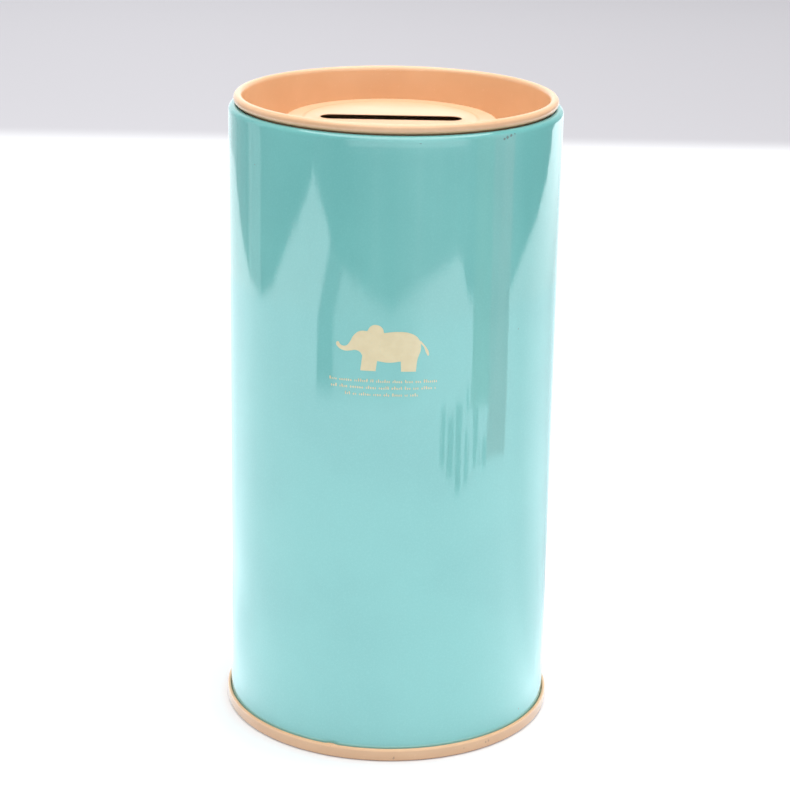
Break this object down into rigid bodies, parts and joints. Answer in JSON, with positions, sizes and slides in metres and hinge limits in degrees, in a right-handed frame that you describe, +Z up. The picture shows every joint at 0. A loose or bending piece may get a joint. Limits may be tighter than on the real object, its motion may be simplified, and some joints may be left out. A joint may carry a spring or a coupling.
{
  "type": "tin money box",
  "caption": "Tall round tin money box with a seamed bottom end and a recessed lift-off lid that has a coin slot.",
  "frame": {"origin": "centre of the tin's standing edge, on the surface it stands on", "axes": "+Z up along the tin's axis, -Y out of the printed front, +X to the right as seen from the front"},
  "size_m": [0.0768, 0.0768, 0.1462],
  "materials": {
    "teal_enamel": "gloss lacquer over printed tinplate",
    "tan_lacquer": "satin-gloss lacquered tinplate",
    "cream_print": "printed ink under the lacquer"
  },
  "bodies": {
    "can": {"body_shell": "teal_enamel", "bottom_end": "tan_lacquer"},
    "lid": {"lid": "tan_lacquer"}
  },
  "joints": [
    {"name": "lid_lift", "type": "slide", "parent": "can", "child": "lid", "axis": [0, 0, 1], "range_m": [0, 0.06]}
  ]
}
